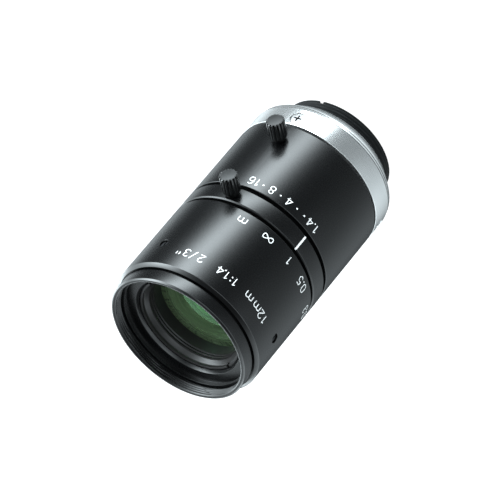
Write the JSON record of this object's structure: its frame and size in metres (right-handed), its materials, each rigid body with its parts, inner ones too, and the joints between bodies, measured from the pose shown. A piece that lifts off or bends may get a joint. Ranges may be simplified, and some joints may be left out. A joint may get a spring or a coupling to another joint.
{
  "type": "machine vision camera lens",
  "caption": "Fixed focal length C-mount camera lens with a manual focus ring, a manual iris ring and a locking thumb screw for each.",
  "frame": {"origin": "on the optical axis in the mount flange, the face that meets the camera", "axes": "+Z along the optical axis towards the front of the lens; -Y towards the index line"},
  "size_m": [0.0366, 0.0336, 0.061],
  "materials": {
    "ring_black": "satin black anodised, fine grain",
    "inner_black": "matt black anodised",
    "mount_silver": "satin turned, clear anodised",
    "knob_black": "satin black",
    "screw_steel": "bright",
    "black_steel": "blackened",
    "helicoid_brass": "turned",
    "front_glass": "polished, green anti-reflection coating",
    "inner_glass": "polished, coated"
  },
  "bodies": {
    "fixed_body": {"mount_base": "mount_silver", "c_mount_thread": "inner_black", "mount_screws": "screw_steel", "main_barrel": "inner_black", "index_ring": "ring_black", "guide_key": "black_steel", "focus_stop_pin": "black_steel", "helicoid_retainer": "inner_black"},
    "focus_body": {"focus_ring": "ring_black", "focus_set_screws": "black_steel", "focus_helicoid": "helicoid_brass"},
    "focus_lock": {"focus_lock_screw": "knob_black"},
    "iris_body": {"iris_ring": "ring_black"},
    "iris_lock": {"iris_lock_screw": "knob_black"},
    "lens_unit": {"lens_barrel": "inner_black", "front_ring": "ring_black", "front_retaining_ring": "inner_black", "lens_1": "front_glass", "lens_2": "inner_glass", "lens_3": "inner_glass", "front_spacer": "inner_black", "inner_retaining_ring": "inner_black", "iris_housing": "inner_black", "rear_cell": "inner_black", "lens_4": "inner_glass", "lens_5": "inner_glass", "lens_6": "inner_glass", "lens_7": "inner_glass", "rear_spacer_1": "inner_black", "rear_spacer_2": "inner_black", "rear_retaining_ring": "inner_black"},
    "iris_cam": {"iris_rotor": "black_steel", "iris_drive_pin": "black_steel"},
    "blade_1": {"iris_blade_1": "black_steel"},
    "blade_2": {"iris_blade_2": "black_steel"},
    "blade_3": {"iris_blade_3": "black_steel"},
    "blade_4": {"iris_blade_4": "black_steel"},
    "blade_5": {"iris_blade_5": "black_steel"},
    "blade_6": {"iris_blade_6": "black_steel"}
  },
  "joints": [
    {"name": "focus_turn", "type": "hinge", "parent": "fixed_body", "child": "focus_body", "pos_m": [0, 0, 0.0437], "axis": [0, 0, 1], "range_deg": [-19.7, 50.7]},
    {"name": "lens_slide", "type": "slide", "parent": "fixed_body", "child": "lens_unit", "axis": [0, 0, 1], "range_m": [-0.000137, 0.000353]},
    {"name": "focus_lock_turn", "type": "hinge", "parent": "fixed_body", "child": "focus_lock", "pos_m": [0.01472, -0.0085, 0.03093], "axis": [0.866, -0.5, 0], "range_deg": [-180, 180]},
    {"name": "iris_turn", "type": "hinge", "parent": "fixed_body", "child": "iris_body", "pos_m": [0, 0, 0.0186], "axis": [0, 0, -1], "range_deg": [0, 53]},
    {"name": "iris_lock_turn", "type": "hinge", "parent": "iris_body", "child": "iris_lock", "pos_m": [0.01472, -0.0085, 0.0134], "axis": [0.866, -0.5, 0], "range_deg": [-180, 180]},
    {"name": "iris_cam_turn", "type": "hinge", "parent": "lens_unit", "child": "iris_cam", "pos_m": [0, 0, 0.0253], "axis": [0, 0, -1], "range_deg": [0, 53]},
    {"name": "blade_1_swing", "type": "hinge", "parent": "lens_unit", "child": "blade_1", "pos_m": [-0.00523, 0.00831, 0.0265], "axis": [0, 0, -1], "range_deg": [0, 27.52]},
    {"name": "blade_2_swing", "type": "hinge", "parent": "lens_unit", "child": "blade_2", "pos_m": [-0.00981, -0.00037, 0.0265], "axis": [0, 0, -1], "range_deg": [0, 27.52]},
    {"name": "blade_3_swing", "type": "hinge", "parent": "lens_unit", "child": "blade_3", "pos_m": [-0.00459, -0.00868, 0.0265], "axis": [0, 0, -1], "range_deg": [0, 27.52]},
    {"name": "blade_4_swing", "type": "hinge", "parent": "lens_unit", "child": "blade_4", "pos_m": [0.00523, -0.00831, 0.0265], "axis": [0, 0, -1], "range_deg": [0, 27.52]},
    {"name": "blade_5_swing", "type": "hinge", "parent": "lens_unit", "child": "blade_5", "pos_m": [0.00981, 0.00037, 0.0265], "axis": [0, 0, -1], "range_deg": [0, 27.52]},
    {"name": "blade_6_swing", "type": "hinge", "parent": "lens_unit", "child": "blade_6", "pos_m": [0.00459, 0.00868, 0.0265], "axis": [0, 0, -1], "range_deg": [0, 27.52]}
  ],
  "couplings": [
    {"joint": "lens_slide", "follows": "focus_turn", "m_per_rad": 0.00039789},
    {"joint": "iris_cam_turn", "follows": "iris_turn", "ratio": 1},
    {"joint": "blade_1_swing", "follows": "iris_turn", "ratio": 0.51908},
    {"joint": "blade_2_swing", "follows": "iris_turn", "ratio": 0.51908},
    {"joint": "blade_3_swing", "follows": "iris_turn", "ratio": 0.51908},
    {"joint": "blade_4_swing", "follows": "iris_turn", "ratio": 0.51908},
    {"joint": "blade_5_swing", "follows": "iris_turn", "ratio": 0.51908},
    {"joint": "blade_6_swing", "follows": "iris_turn", "ratio": 0.51908}
  ]
}
